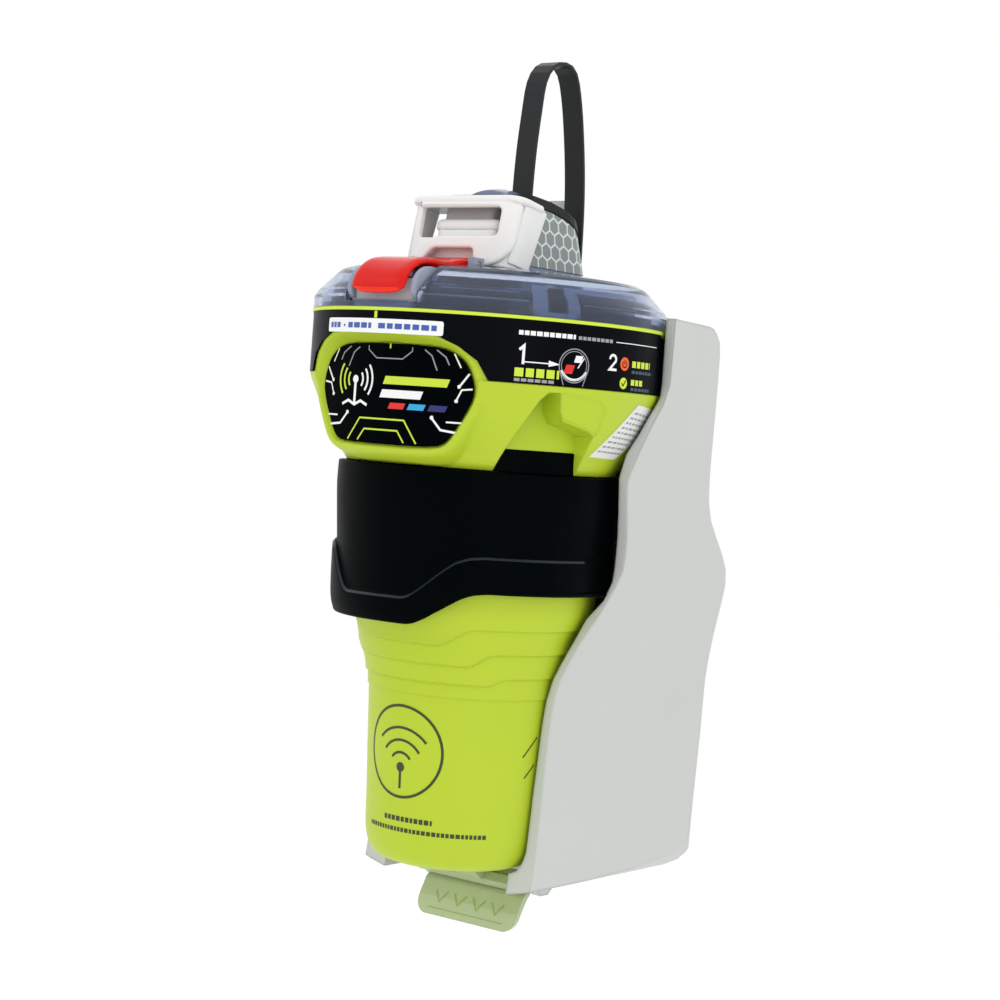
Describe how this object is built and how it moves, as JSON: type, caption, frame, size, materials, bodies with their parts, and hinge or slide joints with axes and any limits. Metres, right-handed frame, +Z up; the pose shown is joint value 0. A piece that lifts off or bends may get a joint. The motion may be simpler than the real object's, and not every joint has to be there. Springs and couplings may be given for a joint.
{
  "type": "emergency position beacon",
  "caption": "Emergency position-indicating radio beacon held in its manual-release wall bracket, with a folded blade aerial, strobe lens, hinged thumb cover, sprung buttons and release tab.",
  "frame": {"origin": "centre of the four wall-screw holes, on the plane of the wall", "axes": "+Z up along the beacon, +Y into the wall, -Y the front of the beacon, +X to the viewer's right when facing it"},
  "size_m": [0.1146, 0.1195, 0.2757],
  "materials": {
    "shell_green": "moulded polycarbonate, fine satin texture",
    "band_black": "soft satin black moulding",
    "badge_black": "printed label panel, semi-gloss",
    "label_black": "printed wrap, semi-gloss",
    "sticker_white": "white printed sticker",
    "lens_clear": "clear polycarbonate with a faint blue tint",
    "seal_green": "bright moulded seal",
    "deck_navy": "dark blue moulding",
    "board_green": "circuit board",
    "frame_grey": "plain moulding",
    "lamp_clear": "clear lamp",
    "pod_black": "dark moulding",
    "button_red": "soft key",
    "button_green": "soft key",
    "steel": "stainless steel",
    "cover_red": "translucent red polycarbonate",
    "tower_blue": "smoky blue polycarbonate",
    "cap_black": "satin black moulding",
    "tape_silver": "retroreflective tape with a hexagon pattern",
    "patch_ceramic": "ceramic patch",
    "blade_black": "plastic-coated spring steel tape",
    "frame_white": "white moulding",
    "cell_wrap": "shrink-wrapped cell",
    "bracket_white": "white moulded plastic, fine texture",
    "magnet_grey": "plated magnet",
    "tab_green": "pale green translucent moulding"
  },
  "bodies": {
    "bracket": {"bracket_shell": "bracket_white", "aerial_keeper": "bracket_white", "magnet": "magnet_grey", "latch_pin": "steel", "latch_spring": "steel"},
    "beacon": {"lower_housing": "shell_green", "upper_housing": "shell_green", "grip_band": "band_black", "badge_panel": "badge_black", "wrap_label": "label_black", "id_sticker": "sticker_white", "lens": "lens_clear", "lens_seal": "seal_green", "top_deck": "deck_navy", "led_board": "board_green", "main_board": "board_green", "board_frame": "frame_grey", "battery_tray": "frame_grey", "strobe_lamp_1": "lamp_clear", "strobe_lamp_2": "lamp_clear", "strobe_lamp_3": "lamp_clear", "strobe_lamp_4": "lamp_clear", "button_pod": "pod_black", "hinge_posts": "pod_black", "cover_pin": "steel", "water_contact_left": "steel", "water_contact_right": "steel", "board_screw_1": "steel", "board_screw_2": "steel", "board_screw_3": "steel", "board_screw_4": "steel", "tower_housing": "tower_blue", "crown_window": "tower_blue", "tower_cap": "cap_black", "antenna_boot": "cap_black", "antenna_tip": "cap_black", "reflective_tape": "tape_silver", "gnss_antenna": "patch_ceramic", "antenna_blade": "blade_black", "lanyard_frame": "frame_white", "lanyard_core": "frame_white", "lanyard_reel": "frame_white", "battery_cell_1": "cell_wrap", "battery_cell_2": "cell_wrap", "battery_cell_3": "cell_wrap", "battery_cell_4": "cell_wrap"},
    "release_tab": {"release_tab": "tab_green"},
    "thumb_cover": {"thumb_cover": "cover_red"},
    "on_off_button": {"on_off_button": "button_red"},
    "test_button": {"test_button": "button_green"}
  },
  "joints": [
    {"name": "beacon_release", "type": "slide", "parent": "bracket", "child": "beacon", "axis": [0, -0.5, 0.866], "range_m": [0, 0.16]},
    {"name": "release_tab_hinge", "type": "hinge", "parent": "bracket", "child": "release_tab", "pos_m": [0, -0.047, -0.096], "axis": [1, 0, 0], "range_deg": [0, 22], "stiffness_Nm_per_rad": 0.05, "springref_deg": -11.46},
    {"name": "thumb_cover_hinge", "type": "hinge", "parent": "beacon", "child": "thumb_cover", "pos_m": [0, -0.0885, 0.0944], "axis": [-1, 0, 0], "range_deg": [0, 85]},
    {"name": "on_off_button_press", "type": "slide", "parent": "beacon", "child": "on_off_button", "axis": [0, 0, -1], "range_m": [0, 0.0015], "stiffness_N_per_m": 300, "springref_m": -0.001},
    {"name": "test_button_press", "type": "slide", "parent": "beacon", "child": "test_button", "axis": [0, 0, -1], "range_m": [0, 0.0015], "stiffness_N_per_m": 300, "springref_m": -0.001}
  ]
}
